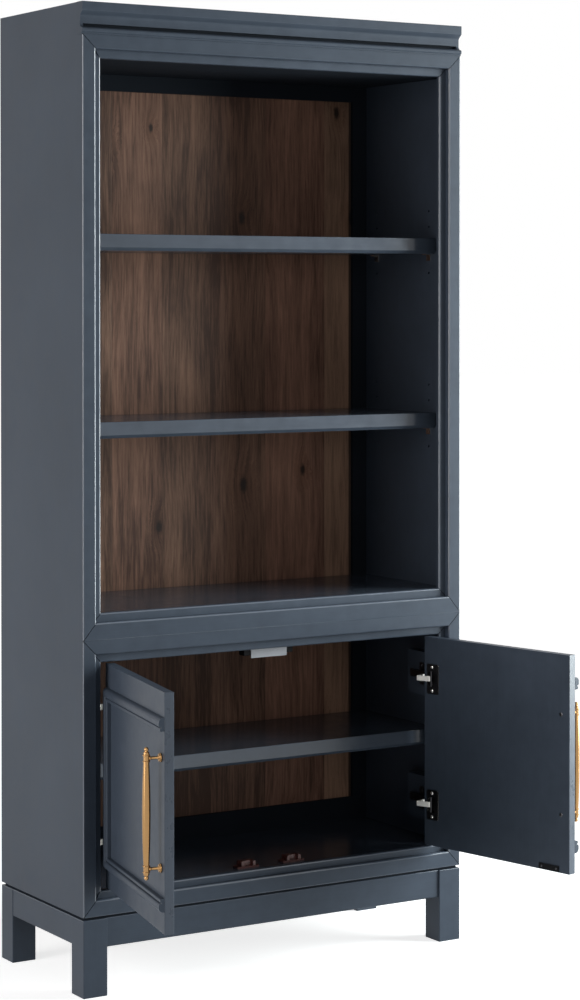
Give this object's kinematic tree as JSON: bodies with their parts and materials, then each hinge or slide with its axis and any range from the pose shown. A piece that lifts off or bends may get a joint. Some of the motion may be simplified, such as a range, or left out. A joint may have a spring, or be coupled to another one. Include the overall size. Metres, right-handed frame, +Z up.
{
  "type": "bookcase with cabinet doors",
  "caption": "Tall painted bookcase with open shelves above, a cupboard with hinged doors and turned brass pulls below, walnut back panels, and square legs.",
  "frame": {"origin": "on the floor under the middle of the case's front face, which is the middle of the box around the part as it stands with its doors open", "axes": "+Z up, the doors face -Y, +X to the right seen from the front"},
  "size_m": [0.9714, 0.7196, 1.88],
  "materials": {
    "paint": "satin slate-blue paint",
    "walnut": "matte oiled walnut",
    "brass": "satin lacquered brass",
    "nickel": "nickel-plated steel",
    "amber_plastic": "brown moulded plastic",
    "zinc": "grey painted steel",
    "black_plastic": "black moulded plastic",
    "black_steel": "black enamelled steel"
  },
  "bodies": {
    "case": {"back_apron": "paint", "back_bottom_rail": "paint", "back_middle_rail": "paint", "back_top_rail": "paint", "base_spacer": "paint", "ceiling_panel": "paint", "crown_moulding": "paint", "cupboard_ceiling_panel": "paint", "cupboard_floor_panel": "paint", "cupboard_shelf": "paint", "floor_catches": "amber_plastic", "front_apron": "paint", "hinge_blocks": "paint", "left_back_leg": "paint", "left_back_stile": "paint", "left_front_leg": "paint", "left_hinge_arms": "nickel", "left_side_apron": "paint", "left_side_panel": "paint", "lower_back_panel": "walnut", "lower_frame_bottom_rail": "paint", "lower_frame_left_stile": "paint", "lower_frame_right_stile": "paint", "lower_frame_top_rail": "paint", "middle_floor_panel": "paint", "middle_shelf": "paint", "right_back_leg": "paint", "right_back_stile": "paint", "right_front_leg": "paint", "right_hinge_arms": "nickel", "right_side_apron": "paint", "right_side_panel": "paint", "shelf_supports": "nickel", "stop_body": "black_plastic", "stop_bracket": "zinc", "top_panel": "paint", "upper_back_panel": "walnut", "upper_frame_bottom_rail": "paint", "upper_frame_left_stile": "paint", "upper_frame_right_stile": "paint", "upper_frame_top_rail": "paint", "upper_shelf": "paint"},
    "left_door": {"left_door_bottom_moulding": "paint", "left_door_slab": "paint", "left_door_top_moulding": "paint", "left_door_upright_moulding": "paint", "left_hinge_cups": "nickel", "left_pull_bar": "brass", "left_pull_posts": "brass", "left_strike_plate": "black_steel"},
    "right_door": {"right_door_bottom_moulding": "paint", "right_door_slab": "paint", "right_door_top_moulding": "paint", "right_door_upright_moulding": "paint", "right_hinge_cups": "nickel", "right_pull_bar": "brass", "right_pull_posts": "brass", "right_strike_plate": "black_steel"},
    "left_links": {"left_hinge_links": "nickel"},
    "right_links": {"right_hinge_links": "nickel"}
  },
  "joints": [
    {"name": "left_door_hinge", "type": "hinge", "parent": "case", "child": "left_door", "pos_m": [-0.3778, 0.012, 0.4147], "axis": [0, 0, 1], "range_deg": [-5, 102]},
    {"name": "right_door_hinge", "type": "hinge", "parent": "case", "child": "right_door", "pos_m": [0.3778, 0.012, 0.4147], "axis": [0, 0, -1], "range_deg": [-5, 102]},
    {"name": "left_link_pivot", "type": "hinge", "parent": "case", "child": "left_links", "pos_m": [-0.381, 0.037, 0.414], "axis": [0, 0, 1], "range_deg": [-2.6, 51.2]},
    {"name": "right_link_pivot", "type": "hinge", "parent": "case", "child": "right_links", "pos_m": [0.381, 0.037, 0.414], "axis": [0, 0, -1], "range_deg": [-2.6, 51.2]}
  ],
  "couplings": [
    {"joint": "left_link_pivot", "follows": "left_door_hinge", "ratio": 0.5},
    {"joint": "right_link_pivot", "follows": "right_door_hinge", "ratio": 0.5}
  ]
}
